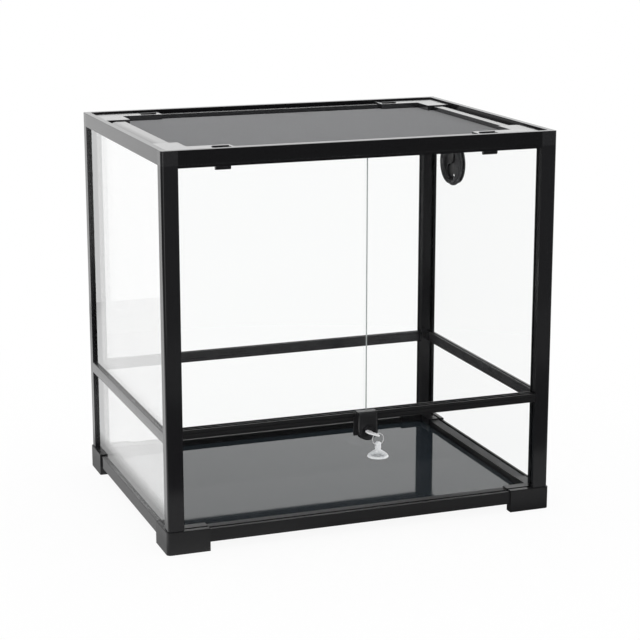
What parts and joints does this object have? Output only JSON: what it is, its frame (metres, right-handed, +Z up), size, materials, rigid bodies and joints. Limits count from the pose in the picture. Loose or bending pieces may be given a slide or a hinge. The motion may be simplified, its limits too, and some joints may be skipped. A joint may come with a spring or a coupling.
{
  "type": "reptile terrarium",
  "caption": "Glass terrarium in a black plug-together frame, with lapped sliding front doors, a key lock, a latched lift-off screen lid and a round cable port.",
  "frame": {"origin": "centre of the underside of the bounding box, on the table", "axes": "+Z up, the sliding doors face -Y, the cable port is on the +X side"},
  "size_m": [0.6044, 0.4962, 0.58],
  "materials": {
    "frame_black": "semi-gloss black extruded plastic",
    "frame_satin": "satin black moulded plastic",
    "inner_black": "black moulded plastic, hidden",
    "pane": "clear float glass with ground edges",
    "floor": "dark grey gloss panel",
    "lock_metal": "bright plated metal",
    "lock_black": "black-coated metal, satin",
    "clear_cup": "clear soft vinyl",
    "screen": "woven wire screen, grey",
    "cord": "black rubber cord"
  },
  "bodies": {
    "tank": {"post_upper_fl": "frame_black", "post_upper_fr": "frame_black", "post_upper_bl": "frame_black", "post_upper_br": "frame_black", "post_lower_fl": "frame_black", "post_lower_fr": "frame_black", "post_lower_bl": "frame_black", "post_lower_br": "frame_black", "top_corner_fl": "frame_satin", "top_corner_fr": "frame_satin", "top_corner_bl": "frame_satin", "top_corner_br": "frame_satin", "foot_fl": "frame_satin", "foot_fr": "frame_satin", "foot_bl": "frame_satin", "foot_br": "frame_satin", "mid_plugs": "inner_black", "top_rail_front": "frame_black", "top_rail_back": "frame_black", "top_rail_left": "frame_black", "top_rail_right": "frame_black", "mid_rail_front": "frame_black", "mid_rail_back": "frame_black", "mid_rail_left": "frame_black", "mid_rail_right": "frame_black", "base_rail_front": "frame_black", "base_rail_back": "frame_black", "base_rail_left": "frame_black", "base_rail_right": "frame_black", "glass_left_upper": "pane", "glass_left_lower": "pane", "glass_right_upper": "pane", "glass_right_lower": "pane", "glass_back_upper": "pane", "glass_back_lower": "pane", "glass_front_lower": "pane", "floor_panel": "floor", "lock_housing": "frame_satin", "port_body": "frame_satin"},
    "left_sliding_door": {"left_door": "pane"},
    "right_sliding_door": {"right_door": "pane"},
    "plug": {"lock_plug": "lock_black"},
    "bolt": {"lock_bolt": "lock_metal"},
    "key": {"key": "lock_metal"},
    "ring": {"key_ring": "lock_metal"},
    "cup": {"suction_cup": "clear_cup"},
    "lid": {"lid_rail_front": "frame_black", "lid_rail_back": "frame_black", "lid_rail_left": "frame_black", "lid_rail_right": "frame_black", "lid_corners": "frame_satin", "lid_screen": "screen", "screen_cord": "cord"},
    "latch_fl": {"latch_fl": "frame_satin"},
    "latch_fr": {"latch_fr": "frame_satin"},
    "latch_bl": {"latch_bl": "frame_satin"},
    "latch_br": {"latch_br": "frame_satin"},
    "cable_cover": {"port_cover": "frame_satin"}
  },
  "joints": [
    {"name": "left_door_slide", "type": "slide", "parent": "tank", "child": "left_sliding_door", "axis": [1, 0, 0], "range_m": [0, 0.2715]},
    {"name": "right_door_slide", "type": "slide", "parent": "tank", "child": "right_sliding_door", "axis": [-1, 0, 0], "range_m": [0, 0.2779]},
    {"name": "lock_turn", "type": "hinge", "parent": "tank", "child": "plug", "pos_m": [0.0005, -0.2121, 0.158], "axis": [0, 1, 0], "range_deg": [-90, 0]},
    {"name": "bolt_lift", "type": "slide", "parent": "tank", "child": "bolt", "axis": [0, 0, 1], "range_m": [0, 0.0041]},
    {"name": "key_draw", "type": "slide", "parent": "plug", "child": "key", "axis": [0, -1, 0], "range_m": [0, 0.02]},
    {"name": "ring_swing", "type": "hinge", "parent": "key", "child": "ring", "pos_m": [0.00901, -0.2326, 0.15507], "axis": [1, 0, 0], "range_deg": [-20, 10]},
    {"name": "cup_swing", "type": "hinge", "parent": "ring", "child": "cup", "pos_m": [0.00901, -0.2326, 0.14027], "axis": [1, 0, 0], "range_deg": [-20, 20]},
    {"name": "lid_lift", "type": "slide", "parent": "tank", "child": "lid", "axis": [0, 0, 1], "range_m": [0, 0.06]},
    {"name": "latch_fl_slide", "type": "slide", "parent": "lid", "child": "latch_fl", "axis": [0, 1, 0], "range_m": [-0.004, 0]},
    {"name": "latch_fr_slide", "type": "slide", "parent": "lid", "child": "latch_fr", "axis": [0, 1, 0], "range_m": [-0.004, 0]},
    {"name": "latch_bl_slide", "type": "slide", "parent": "lid", "child": "latch_bl", "axis": [0, -1, 0], "range_m": [-0.004, 0]},
    {"name": "latch_br_slide", "type": "slide", "parent": "lid", "child": "latch_br", "axis": [0, -1, 0], "range_m": [-0.004, 0]},
    {"name": "cover_turn", "type": "hinge", "parent": "tank", "child": "cable_cover", "pos_m": [0.2868, 0.1429, 0.483], "axis": [1, 0, 0], "range_deg": [0, 180]}
  ],
  "couplings": [
    {"joint": "bolt_lift", "follows": "lock_turn", "m_per_rad": -0.0025465}
  ]
}
